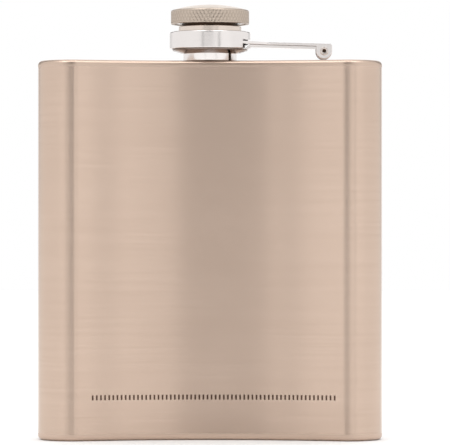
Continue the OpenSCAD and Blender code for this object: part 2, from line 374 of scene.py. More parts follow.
class Wire:
    """A value in a node tree. Arithmetic on wires adds Math nodes."""

    def __init__(self, bench: "Bench", socket: bpy.types.NodeSocket | None) -> None:
        """Wraps an output socket."""
        self.bench = bench
        self.socket = socket

    def _math(self, operation: str, *values: "Wire | float") -> "Wire":
        """Adds a Math node."""
        return self.bench.node("ShaderNodeMath", {"operation": operation}, dict(enumerate(values)))

    def __add__(self, other: "Wire | float") -> "Wire":
        """Sum."""
        return self._math("ADD", self, other)

    __radd__ = __add__

    def __sub__(self, other: "Wire | float") -> "Wire":
        """Difference."""
        return self._math("SUBTRACT", self, other)

    def __rsub__(self, other: "Wire | float") -> "Wire":
        """Difference from a number."""
        return self._math("SUBTRACT", other, self)

    def __mul__(self, other: "Wire | float") -> "Wire":
        """Product."""
        return self._math("MULTIPLY", self, other)

    __rmul__ = __mul__

    def __truediv__(self, other: "Wire | float") -> "Wire":
        """Quotient."""
        return self._math("DIVIDE", self, other)

    def __rtruediv__(self, other: "Wire | float") -> "Wire":
        """Quotient of a number."""
        return self._math("DIVIDE", other, self)

    def __lt__(self, other: "Wire | float") -> "Wire":
        """1 where this is less, otherwise 0."""
        return self._math("LESS_THAN", self, other)

    def __gt__(self, other: "Wire | float") -> "Wire":
        """1 where this is greater, otherwise 0."""
        return self._math("GREATER_THAN", self, other)

    def __abs__(self) -> "Wire":
        """Size without its sign."""
        return self._math("ABSOLUTE", self)

    def clipped(self) -> "Wire":
        """The value kept between 0 and 1."""
        return self.bench.node("ShaderNodeClamp", sockets={"Value": self})

    def fraction(self) -> "Wire":
        """What is left over from the next lower whole number."""
        return self._math("FRACT", self)

    def arcsine(self) -> "Wire":
        """Angle whose sine this is, in degrees."""
        return self._math("ARCSINE", self) * math.degrees(1)

    def turned_from(self, ahead: "Wire") -> "Wire":
        """Angle from the direction ahead to this one, in degrees."""
        return self._math("ARCTAN2", self, ahead) * math.degrees(1)

    def within(self, low: float, high: float, soft: float) -> "Wire":
        """1 between two limits and 0 outside them, each edge fading over a soft width."""
        return ((self - low) / soft + 0.5).clipped() * ((high - self) / soft + 0.5).clipped()


class Bench:
    """Node tree that is being wired."""

    def __init__(self, tree: bpy.types.NodeTree) -> None:
        """Starts with an empty tree."""
        self.tree = tree
        self.tree.nodes.clear()

    def node(
        self,
        kind: str,
        settings: dict[str, object] | None = None,
        sockets: dict[str | int, object] | None = None,
        output: str | int = 0,
    ) -> Wire:
        """Adds a node.

        Args:
            kind: Type of the node.
            settings: Its own settings, set first.
            sockets: A value or a wire for each input that is used.
            output: Output that is wanted.

        Returns:
            That output, or an empty wire from a node that ends the tree.
        """
        made = self.tree.nodes.new(kind)
        for name, value in (settings or {}).items():
            setattr(made, name, value)
        for key, value in (sockets or {}).items():
            if isinstance(value, Wire):
                self.tree.links.new(value.socket, made.inputs[key])
            else:
                made.inputs[key].default_value = value
        return Wire(self, made.outputs[output] if made.outputs else None)

    def scaled(self, vector: Wire, factors: Place) -> Wire:
        """A vector with each coordinate multiplied."""
        return self.node("ShaderNodeVectorMath", {"operation": "MULTIPLY"}, {0: vector, 1: factors})

    def parts(self, vector: Wire) -> tuple[Wire, Wire, Wire]:
        """The three coordinates of a vector."""
        kind = "ShaderNodeSeparateXYZ"
        x, y, z = (self.node(kind, sockets={"Vector": vector}, output=axis) for axis in "XYZ")
        return x, y, z


class Surface(Bench):
    """Node tree of one finish. Coordinates on it are in millimetres."""

    def __init__(self, name: str) -> None:
        """Starts an empty material."""
        self.material = bpy.data.materials.new(name)
        self.material.use_nodes = True
        super().__init__(self.material.node_tree)
        self.place = self.scaled(self.node("ShaderNodeTexCoord", output="Object"), (1 / MM,) * 3)
        self.x, self.y, self.z = self.parts(self.place)

    def noise(self, place: Wire, size: Place, detail: float = 2) -> Wire:
        """Soft random pattern from 0 to 1, whose marks have this size in millimetres."""
        at = self.scaled(place, tuple(1 / s for s in size))
        return self.node("ShaderNodeTexNoise", sockets={"Vector": at, "Scale": 1, "Detail": detail})

    def radius(self) -> Wire:
        """Distance from the Z axis."""
        flat = self.scaled(self.place, (1, 1, 0))
        return self.node("ShaderNodeVectorMath", {"operation": "LENGTH"}, {0: flat}, "Value")

    def rings(self, width: float) -> Wire:
        """Soft random rings round the Z axis, from 0 to 1, each about a width across."""
        section = self.node("ShaderNodeCombineXYZ", sockets={"X": self.radius(), "Z": self.z})
        return self.noise(section, (width, 1, width), detail=3)

    def blend(self, mask: Wire, first: "Colour | Wire", second: "Colour | Wire") -> Wire:
        """First colour where the mask is 0, second where it is 1."""
        return self.node("ShaderNodeMix", {"data_type": "RGBA"}, {0: mask, 6: first, 7: second}, 2)

    def relief(self, height: Wire, depth: float) -> Wire:
        """Normals of a surface that a pattern raises by up to a depth in millimetres."""
        return self.node("ShaderNodeBump", sockets={"Strength": 1, "Distance": depth * MM, "Height": height})

    def done(self, sockets: dict[str, object]) -> bpy.types.Material:
        """Ends the tree in a Principled shader with these sockets and returns the material."""
        shader = self.node("ShaderNodeBsdfPrincipled", sockets=sockets)
        self.node("ShaderNodeOutputMaterial", sockets={"Surface": shader})
        return self.material


    def steel(
        self, colour: Wire, roughness: Wire, normal: Wire, grain: dict[str, object] | None = None
    ) -> bpy.types.Material:
        """Ends the tree in bare metal, with the sockets of a grain if it has one."""
        metal = {"Base Color": colour, "Metallic": 1, "Roughness": roughness, "Normal": normal}
        return self.done(metal | (grain or {}))


@dataclass(frozen=True)
class TickRow:
    """Plain row of short etched ticks along the foot of the front."""

    middle: float = 1.3
    length: float = 66.6
    level: float = 11.7
    height: float = 1.35
    pitch: float = 1.11
    share: float = 0.42

    def mask(self, bench: Surface) -> Wire:
        """1 on the ticks, 0 beside them."""
        across = bench.x - (self.middle - self.length / 2)
        along = (across > 0) * (across < self.length)
        band = abs(bench.z - self.level) < self.height / 2
        tick = (across / self.pitch).fraction() < self.share
        return along * band * tick * (bench.y < 0)


@dataclass(frozen=True)
class BrushedSteel:
    """Sheet steel with a satin finish brushed round the body."""

    name: str
    tone: Colour = (0.655, 0.508, 0.414, 1)
    shade: Colour = (0.570, 0.434, 0.348, 1)
    etched: Colour = (0.15, 0.095, 0.068, 1)
    roughness: float = 0.24
    spread: float = 1.0
    ticks: TickRow | None = None

    def material(self) -> bpy.types.Material:
        """Makes the material."""
        bench = Surface(self.name)
        hairs = bench.noise(bench.place, (26, 26, 0.09), detail=3)
        strokes = bench.noise(bench.place, (60, 60, 0.8), detail=2)
        clouds = bench.noise(bench.place, (24, 24, 14), detail=1)
        uneven = (0.55 * hairs + 0.25 * strokes + 0.2 * clouds - 0.25) * 2
        colour = bench.blend(uneven.clipped(), self.tone, self.shade)
        rough = self.roughness + 0.06 * (hairs - 0.5) + 0.05 * (clouds - 0.5)
        if self.ticks:
            mark = self.ticks.mask(bench)
            colour = bench.blend(mark, colour, self.etched)
            rough = rough + 0.3 * mark
        grain = {"Anisotropic": self.spread, "Anisotropic Rotation": 0.25}
        return bench.steel(colour, rough, bench.relief(hairs, 0.004), grain)


@dataclass(frozen=True)
class RingShade:
    """Painted shade: a darker colour in a recess that runs round the neck's axis."""

    inner: float
    outer: float
    low: float
    high: float

    def mask(self, bench: Surface) -> Wire:
        """1 in the recess, 0 outside it."""
        return bench.radius().within(self.inner, self.outer, 0.12) * bench.z.within(self.low, self.high, 0.12)


@dataclass(frozen=True)
class HoleShade:
    """Painted shade: a darker colour in the hole of the rivet's front end."""

    x: float
    z: float
    radius: float
    face: float

    def mask(self, bench: Surface) -> Wire:
        """1 in the hole, 0 outside it."""
        across, up = bench.x - self.x, bench.z - self.z
        return (across * across + up * up < self.radius**2) * (bench.y > self.face)


@dataclass(frozen=True)
class PolishedSteel:
    """Bright tumbled steel with faint hair lines."""

    name: str
    tone: Colour = (0.88, 0.84, 0.82, 1)
    shade: Colour = (0.80, 0.75, 0.73, 1)
    roughness: float = 0.17
    # Painted shade: a darker colour over a recess, where one is given, and that colour.
    painted_shade: RingShade | None = None
    painted_shade_tone: Colour = (0.26, 0.20, 0.17, 1)

    def material(self) -> bpy.types.Material:
        """Makes the material."""
        bench = Surface(self.name)
        hairs = bench.noise(bench.place, (2.4, 2.4, 0.12), detail=3)
        clouds = bench.noise(bench.place, (5, 5, 3), detail=2)
        colour = bench.blend((0.5 * hairs + 0.5 * clouds).clipped(), self.tone, self.shade)
        # Painted shade: the colour turns darker over the recess that the mask covers.
        if self.painted_shade:
            colour = bench.blend(self.painted_shade.mask(bench), colour, self.painted_shade_tone)
        rough = self.roughness + 0.08 * (clouds - 0.5) + 0.05 * (hairs - 0.5)
        return bench.steel(colour, rough, bench.relief(hairs, 0.0012))


@dataclass(frozen=True)
class TurnedSteel:
    """Lathe-turned steel with fine rings round its axis."""

    name: str
    tone: Colour = (0.82, 0.72, 0.65, 1)
    shade: Colour = (0.70, 0.60, 0.53, 1)
    roughness: float = 0.22
    ring: float = 0.14
    # Painted shade: a darker colour over a recess or a hole, where one is given, and that colour.
    painted_shade: RingShade | HoleShade | None = None
    painted_shade_tone: Colour = (0.060, 0.038, 0.026, 1)

    def material(self) -> bpy.types.Material:
        """Makes the material."""
        bench = Surface(self.name)
        rings = bench.rings(self.ring)
        clouds = bench.noise(bench.place, (4, 4, 2), detail=2)
        colour = bench.blend((0.6 * rings + 0.4 * clouds).clipped(), self.tone, self.shade)
        # Painted shade: the colour turns darker over the recess or hole that the mask covers.
        if self.painted_shade:
            colour = bench.blend(self.painted_shade.mask(bench), colour, self.painted_shade_tone)
        rough = self.roughness + 0.1 * (rings - 0.5) + 0.06 * (clouds - 0.5)
        return bench.steel(colour, rough, bench.relief(rings, 0.004))


@dataclass(frozen=True)
class KnurledSteel:
    """Steel of the cap's head: knurl grooves rougher than the crests and darkened with painted shade, turned
    rings on the dome.
    """

    crest_radius: float
    groove: float
    side_top: float
    name: str = "knurled_steel"
    tone: Colour = (0.58, 0.49, 0.415, 1)
    shade: Colour = (0.43, 0.355, 0.29, 1)
    roughness: float = 0.32

    def material(self) -> bpy.types.Material:
        """Makes the material."""
        bench = Surface(self.name)
        radius = bench.radius()
        side = bench.z < self.side_top
        depth = ((self.crest_radius - radius) / self.groove).clipped() * side
        rings = bench.rings(0.12)
        clouds = bench.noise(bench.place, (3, 3, 3), detail=2)
        # Painted shade: the grooves darken the colour by their depth; the rings and clouds add random tone.
        uneven = 0.6 * depth + 0.2 * rings + 0.2 * clouds
        colour = bench.blend(uneven.clipped(), self.tone, self.shade)
        rough = self.roughness + 0.12 * depth + 0.08 * (clouds - 0.5)
        return bench.steel(colour, rough, bench.relief(rings, 0.004))


@dataclass(frozen=True)
class Silicone:
    """Matte pale silicone."""

    name: str = "seal_silicone"
    tone: Colour = (0.80, 0.79, 0.76, 1)
    shade: Colour = (0.70, 0.69, 0.65, 1)
    roughness: float = 0.52

    def material(self) -> bpy.types.Material:
        """Makes the material."""
        bench = Surface(self.name)
        specks = bench.noise(bench.place, (0.25, 0.25, 0.25), detail=3)
        clouds = bench.noise(bench.place, (3, 3, 3), detail=1)
        return bench.done(
            {
                "Base Color": bench.blend((0.4 * specks + 0.6 * clouds).clipped(), self.tone, self.shade),
                "Roughness": self.roughness + 0.1 * (specks - 0.5),
                "Normal": bench.relief(specks, 0.01),
            }
        )


@dataclass(frozen=True)
class Finishes:
    """The finished materials, made once and shared by the pieces."""

    wall: bpy.types.Material
    plate: bpy.types.Material
    neck_strip: bpy.types.Material
    cap_strip: bpy.types.Material
    spout: bpy.types.Material
    barrel: bpy.types.Material
    clip: bpy.types.Material
    rivet: bpy.types.Material
    knurl: bpy.types.Material
    seal: bpy.types.Material

    @classmethod
    def made_for(cls, cap: "Cap", arm: "CapArm", neck: "NeckArm") -> "Finishes":
        """Makes every finish. Those with painted shade in a recess, or with a knurl, follow the sizes of
        their pieces.
        """
        hinge = arm.hinge
        deck, head = hinge.deck, cap.head.low.z
        rivet_face = hinge.width / 2 + arm.pin_head_thick
        # Painted shade in the recesses: under the head, under the swivel ring, on the spout inside the
        # sleeve, and in the rivet's hole.
        under_head = RingShade(0, cap.barrel_radius - 0.25, head - cap.undercut_height, head + 2)
        under_ring = RingShade(neck.sleeve + 0.2, neck.ring + 0.1, deck + 2, deck + 3.45)
        journal = RingShade(0, neck.sleeve_in + 0.05, deck, deck + neck.ring_top)
        hole = HoleShade(hinge.reach, hinge.level, arm.pin_hole + 0.02, 0.15 - rivet_face)
        plain = TurnedSteel(name="plain_rivet_steel", tone=(0.80, 0.76, 0.74, 1), ring=0.3, painted_shade=hole)
        return cls(
            wall=BrushedSteel(name="brushed_wall_steel", ticks=TickRow()).material(),
            plate=BrushedSteel(name="brushed_plate_steel", roughness=0.36, spread=0.2).material(),
            neck_strip=PolishedSteel(name="neck_strip_steel", painted_shade=under_ring).material(),
            cap_strip=PolishedSteel(name="cap_strip_steel").material(),
            spout=TurnedSteel(name="spout_steel", painted_shade=journal).material(),
            barrel=TurnedSteel(name="barrel_steel", painted_shade=under_head).material(),
            clip=TurnedSteel(name="clip_steel").material(),
            rivet=plain.material(),
            knurl=KnurledSteel(cap.head.high.x, cap.knurl_depth, cap.side_top).material(),
            seal=Silicone().material(),
        )


# Sub-assemblies


@dataclass
class FlaskBody:
    """Rolled wall with a pressed plate at each end. Its plan is a kidney of tangent arcs."""

    end_radius: float = 9.7
    bend_radius: float = 5.5
    wall: float = 0.5
    plate: float = 0.6
    shoulder: float = 1.2
    neck_hole: float = 6.65
    shell: Extent = extent_of("body_shell")
    top: Extent = extent_of("top_plate")
    base: Extent = extent_of("bottom_plate")

    def plan(self, inset: float) -> list[Point]:
        """Draws the plan of the body.

        Args:
            inset: How far inside the outer face it lies.

        Returns:
            The same number of points for every inset, from the middle of the hollow front to the right.
        """
        lobe, back = self.shell.low.y, self.shell.high.y
        dish = -lobe - back
        end_x = self.shell.high.x - self.end_radius
        end_y, bend_y = lobe + self.end_radius, lobe + self.bend_radius
        rise = back - end_y
        back_r = (end_x**2 + rise**2 - self.end_radius**2) / (2 * (rise - self.end_radius))
        front_r = (end_x**2 + dish**2 - 2 * self.bend_radius * dish) / (2 * dish)
        back_a = math.degrees(math.asin(end_x / (back_r - self.end_radius)))
        front_a = math.degrees(math.asin(end_x / (front_r + self.bend_radius)))
        half = arc((0, -back - front_r), front_r + inset, 90, 90 - front_a, 48)
        half += arc((end_x, bend_y), self.bend_radius - inset, -90 - front_a, -90, 14)[1:]
        half += arc((end_x, end_y), self.end_radius - inset, -90, 90 - back_a, 56)[1:]
        half += arc((0, back - back_r), back_r - inset, 90 - back_a, 90, 56)[1:]
        return half + [(-x, y) for x, y in half[-2:0:-1]]

    def wall_piece(self) -> bpy.types.Object:
        """Rolled wall, open at both ends."""
        draft = Draft()
        low, high = self.shell.low.z, self.shell.high.z
        steps = [(0, low), (0, high), (self.wall, high), (self.wall, low)]
        draft.stack([draft.loop((x, y, z) for x, y in self.plan(inset)) for inset, z in steps], closed=True)
        return draft.make("rolled_wall")

    def plate_piece(self, name: str, face: float, rim: float, hole: float) -> bpy.types.Object:
        """Pressed plate with a rounded shoulder.

        Args:
            name: Name of the piece.
            face: Height of its flat outer face.
            rim: Height of the edge of its rim.
            hole: Radius of the hole for the neck, or 0.

        Returns:
            The plate.
        """
        draft = Draft()
        out = math.copysign(1, face - rim)
        bend = face - out * self.shoulder
        curve = arc((self.shoulder, bend), self.shoulder, 180, 90, 8)
        steps = [(self.plate, rim), (0, rim), (0, bend)]
        steps += [(inset, face - out * (self.shoulder - abs(z - bend))) for inset, z in curve[1:]]
        steps.append((self.shoulder + 0.3, face))
        loops = [draft.loop((x, y, z) for x, y in self.plan(inset)) for inset, z in steps]
        inner = draft.loop((x, y, face - out * self.plate) for x, y in self.plan(self.plate))
        if hole:
            ways = [math.atan2(y, x) for x, y in self.plan(self.shoulder)]
            edges = [
                draft.loop((hole * math.cos(a), hole * math.sin(a), z) for a in ways)
                for z in (face, face - out * self.plate)
            ]
        else:
            edges = [draft.loop([(0, 0, z)]) for z in (face, face - out * self.plate)]
        draft.stack(loops + edges[:1], closed=False)
        if hole:
            draft.skin(edges[0], edges[1])
        draft.stack([edges[1], inner, loops[0]], closed=False)
        return draft.make(name)

    def build(self, finishes: Finishes) -> None:
        """Builds the wall and the two plates."""
        fitted(self.wall_piece(), "flask", finishes.wall, "body_shell")
        top = self.plate_piece("pressed_top", self.top.high.z, self.top.low.z, self.neck_hole)
        fitted(top, "flask", finishes.plate, "top_plate")
        base = self.plate_piece("pressed_base", self.base.low.z, self.base.high.z, 0)
        fitted(base, "flask", finishes.plate, "bottom_plate")


@dataclass(frozen=True)
class Helix:
    """One right-hand thread. Its ridge fades in and out at its ends."""

    low: float
    high: float
    pitch: float
    base: float
    crest: float
    height: float
    phase: float = 0.0

    def ridge(self, level: float, angle: float) -> float:
        """Height of the ridge over its root.

        Args:
            level: Height along the axis.
            angle: Angle round the axis, in radians.

        Returns:
            From 0 beside the ridge to its height on the crest.
        """
        line = self.low + self.phase + self.pitch * angle / (2 * math.pi)
        turns = round((level - line) / self.pitch)
        centre = line + turns * self.pitch
        flank = (self.base / 2 - abs(level - centre)) / ((self.base - self.crest) / 2)
        fade = min(centre - self.low, self.high - centre) / (0.12 * self.pitch)
        return self.height * clamped(flank) * clamped(fade)


    def mate(self) -> "Helix":
        """The inside thread that runs on this one, with play all round."""
        low, high = self.low + 1.7, self.high + 0.9
        return Helix(low, high, self.pitch, base=1.1, crest=0.4, height=0.85, phase=-0.7)


@dataclass
class NeckSpout:
    """Threaded pouring spout, welded through the top plate."""

    bore: float = 5.0
    flange: float = 8.2
    flange_thick: float = 0.8
    plate: float = 0.6
    journal: float = 6.65
    bead: float = 7.0
    bead_low: float = 2.85
    bead_high: float = 3.3
    root: float = 6.1
    deck: float = top_of("top_plate")
    top: float = top_of("neck_spout")

    def thread(self) -> Helix:
        """The outside thread."""
        return Helix(low=self.top - 4.9, high=self.top - 1.1, pitch=2, base=1.2, crest=0.4, height=0.5)

    def build(self, finishes: Finishes) -> None:
        """Builds the spout."""
        under = self.deck - self.plate
        low, high = self.deck + self.bead_low, self.deck + self.bead_high
        thread = self.thread()
        corners: list[Corner] = [
            (self.bore, under - self.flange_thick, 0.15),
            (self.flange, under - self.flange_thick, 0.15),
            (self.flange, under, 0.15),
            (self.journal, under, 0),
            (self.journal, low, 0),
            (self.bead, low, 0.12),
            (self.bead, high, 0.16),
            (self.root, high, 0.1),
        ]
        corners += [(self.root, z, 0) for z in levels(high + 0.25, self.top - 0.4, 0.09)]
        corners += [(self.root, self.top, 0.25), (self.bore, self.top, 0.3)]

        def swell(radius: float, level: float, angle: float) -> float:
            """Adds the thread where the spout is plain."""
            plain = abs(radius - self.root) < TINY and high < level < self.top - 0.3
            return radius + thread.ridge(level, angle) if plain else radius

        spout = turned("threaded_spout", soften(corners), swell=swell)
        fitted(spout, "flask", finishes.spout, "neck_spout")


@dataclass(frozen=True)
class Hinge:
    """Sizes that the two arms and the rivet share."""

    reach: float = 31.3
    pin: float = 0.75
    knuckle_hole: float = 0.8
    knuckle: float = 1.25
    knuckle_width: float = 5.4
    strip: float = 0.7
    width: float = 7.0
    gap: float = 0.05
    rise: float = 0.6
    collar: float = 11.2
    deck: float = top_of("top_plate")
    height: float = 2.9

    @property
    def level(self) -> float:
        """Height of the rivet."""
        return self.deck + self.height

    @property
    def lower(self) -> float:
        """Height of the lower strip's underside at the hinge."""
        return self.level + self.knuckle - self.strip

    @property
    def upper(self) -> float:
        """Height of the upper strip's underside at the hinge."""
        return self.level + self.knuckle + self.gap

    def climb(self, x: float) -> float:
        """How much higher a strip is at x than at the hinge."""
        return max(0.0, self.rise * (self.reach - x) / (self.reach - self.collar))

    def rod(self, name: str, radius: float, length: float) -> bpy.types.Object:
        """Plain rod along the rivet's axis, used to drill its holes."""
        chain = [(0, -length / 2), (radius, -length / 2), (radius, length / 2), (0, length / 2)]
        return laid_over(turned(name, chain, around=64), (self.reach, 0, self.level))


@dataclass
class NeckArm:
    """Lower arm: split sleeve and dished ring round the neck, strip, and knuckle rolled round the rivet."""

    hinge: Hinge
    sleeve_in: float = 6.7
    sleeve: float = 7.4
    sleeve_gap: float = 0.15
    ring: float = 10.3
    ring_thick: float = 0.5
    ring_rise: float = 0.8
    ring_top: float = 2.8
    split: float = 1.0
    split_angle: float = 43.0
    root: float = 0.6
    ramp: float = 1.0
    step_inset: float = 0.2
    lag: float = 0.4
    bend: float = 0.9

    def ring_piece(self) -> bpy.types.Object:
        """Sleeve and dished ring."""
        foot = self.hinge.deck + self.sleeve_gap
        top = self.hinge.deck + self.ring_top
        low = top - self.ring_thick
        corners: list[Corner] = [
            (self.sleeve_in, foot, 0.12),
            (self.sleeve, foot, 0.22),
            (self.sleeve, low, 0.2),
            (self.ring, low + self.ring_rise, 0.16),
            (self.ring, top + self.ring_rise, 0.16),
            (self.sleeve, top, 0.3),
            (self.sleeve_in, top, 0.1),
        ]
        return turned("swivel_arm", soften(corners))

    def strip_piece(self) -> bpy.types.Object:
        """Strip that steps down to the ring inside the collar, with its end rolled into a knuckle."""
        hinge = self.hinge
        top = hinge.deck + self.ring_top
        low = top - self.ring_thick
        slope = self.ring_rise / (self.ring - self.sleeve)
        step = hinge.collar - self.step_inset
        join = self.sleeve + self.root
        foot = join + self.ramp
        middle = (hinge.reach, hinge.level)
        start = math.degrees(math.asin((hinge.lower - hinge.level) / hinge.knuckle))
        knuckle = arc(middle, hinge.knuckle, 180 - start, 450, 36)
        rest: list[Corner] = [
            (step, hinge.lower + hinge.strip + hinge.climb(step), self.bend),
            (foot, top + slope * (foot - self.sleeve), self.bend),
            (join, top + slope * (join - self.sleeve), 0),
            (join, low + slope * (join - self.sleeve), 0),
            (foot + self.lag, low + slope * (foot + self.lag - self.sleeve), self.bend),
            (step + self.lag, hinge.lower + hinge.climb(step + self.lag), self.bend),
        ]
        outline = soften([(u, v, 0) for u, v in knuckle] + rest, steps=6)
        half = hinge.knuckle_width / 2
        return slab("strip", outline, -half, half, 0.05, Lie.UPRIGHT)

    def build(self, finishes: Finishes) -> None:
        """Builds the arm as one piece."""
        hinge = self.hinge
        arm = worked(self.ring_piece(), Cut.JOIN, self.strip_piece())
        foot = hinge.deck + self.sleeve_gap
        low = hinge.deck + self.ring_top - self.ring_thick
        half = self.split / 2
        slot = block("split", (self.sleeve_in - 1, -half, foot - 1), (self.sleeve + 0.5, half, low))
        slot.data.transform(Matrix.Rotation(-math.radians(self.split_angle), 4, "Z"))
        worked(arm, Cut.REMOVE, slot, hinge.rod("drill", hinge.knuckle_hole, 2 * hinge.width))
        fitted(arm, "neck_arm", finishes.neck_strip, "neck_arm")


@dataclass
class CapArm:
    """Upper arm: collar drawn from a strip whose end folds into two cheeks, and the rivet."""

    hinge: Hinge
    thick: float = 0.7
    lip: float = 8.8
    edge: float = 0.4
    notch: float = 13.4
    notch_height: float = 2.5
    collar_gap: float = 3.5
    collar_height: float = 4.75
    cheek: float = 2.2
    cheek_corner: float = 2.7
    pin_hole: float = 0.5
    pin_hole_depth: float = 1.5
    pin_head: float = 1.15
    pin_head_thick: float = 0.35

    def collar_piece(self) -> bpy.types.Object:
        """Collar with a lip round its top and an opening for the strips."""
        low = self.hinge.deck + self.collar_gap
        top = low + self.collar_height
        outer, inner = self.hinge.collar, self.hinge.collar - self.thick
        corners: list[Corner] = [
            (inner, low, 0.2),
            (outer, low, 0.2),
            (outer, top, self.edge),
            (self.lip, top, 0.25),
            (self.lip, top - self.thick, 0.2),
            (inner, top - self.thick, 0.3),
        ]
        collar = turned("collar_arm", soften(corners, steps=7))
        half = self.notch / 2
        notch = block("notch", (self.lip - 1, -half, low - 1), (outer + 1, half, low + self.notch_height))
        return worked(collar, Cut.REMOVE, notch)

    def strip_piece(self) -> bpy.types.Object:
        """Strip, widening towards the collar."""
        hinge = self.hinge
        inner = hinge.collar - self.thick + 0.02
        wide = self.notch / 2 + 0.4
        spread = math.degrees(math.asin(wide / inner))
        half = hinge.width / 2
        top = hinge.upper + hinge.strip
        end = hinge.reach + math.sqrt(self.cheek_corner**2 - (top - hinge.level) ** 2)
        flare = hinge.collar + 4.5
        root = math.sqrt((inner - 0.02) ** 2 - (self.notch / 2) ** 2) + 0.4
        sides: list[Corner] = [(root, -wide, 0.1), (flare, -half, 4.0), (end, -half, 0), (end, half, 0)]
        sides += [(flare, half, 4.0), (root, wide, 0.1)]
        hollow = [(u, v, 0) for u, v in arc((0, 0), inner, spread, -spread, 24)]
        strip = slab("strip", soften(hollow + sides, steps=8), hinge.upper, top, edge=0.06)
        for point in strip.data.vertices:
            point.co.z += hinge.climb(point.co.x)
        return strip

    def cheeks_piece(self) -> bpy.types.Object:
        """Two cheeks folded down from the strip's end."""
        hinge = self.hinge
        middle = (hinge.reach, hinge.level)
        top = hinge.upper + hinge.strip - hinge.level
        low_corner = math.degrees(math.acos(self.cheek / self.cheek_corner))
        high_corner = math.degrees(math.asin(top / self.cheek_corner))
        face = arc(middle, self.cheek, 180, 360, 36)
        face += arc(middle, self.cheek_corner, low_corner, high_corner, 6)
        face += arc(middle, self.cheek_corner, 180 - high_corner, 180 - low_corner, 6)
        half = hinge.width / 2
        cheeks = slab("cheeks", face, -half, half, 0.22, Lie.UPRIGHT)
        near, far, inside = hinge.reach - 4, hinge.reach + 4, half - hinge.strip
        under_strip = hinge.upper + hinge.climb(near)
        channel = block("channel", (near, -inside, hinge.deck), (far, inside, under_strip))
        return worked(cheeks, Cut.REMOVE, channel)

    def rivet_piece(self) -> bpy.types.Object:
        """Rivet with a head at each end, its front end hollow."""
        shank = self.hinge.width / 2
        end = shank + self.pin_head_thick
        corners: list[Corner] = [
            (0, end - self.pin_hole_depth, 0),
            (self.pin_hole, end - self.pin_hole_depth, 0),
            (self.pin_hole, end, 0.2),
            (self.pin_head, end, 0.2),
            (self.pin_head, shank, 0.1),
            (self.hinge.pin, shank, 0),
            (self.hinge.pin, -shank, 0),
            (self.pin_head, -shank, 0.1),
            (self.pin_head, -end, 0.2),
            (0, -end, 0),
        ]
        rivet = turned("hollow_end_rivet", soften(corners, steps=6), around=72)
        return laid_over(rivet, (self.hinge.reach, 0, self.hinge.level))

    def build(self, finishes: Finishes) -> None:
        """Builds the arm as one piece, and its rivet."""
        hinge = self.hinge
        arm = worked(self.collar_piece(), Cut.JOIN, self.strip_piece(), self.cheeks_piece())
        worked(arm, Cut.REMOVE, hinge.rod("drill", hinge.pin, 2 * hinge.width))
        fitted(arm, "cap_arm", finishes.cap_strip, "cap_arm")
        fitted(self.rivet_piece(), "cap_arm", finishes.rivet, "hinge_rivet")


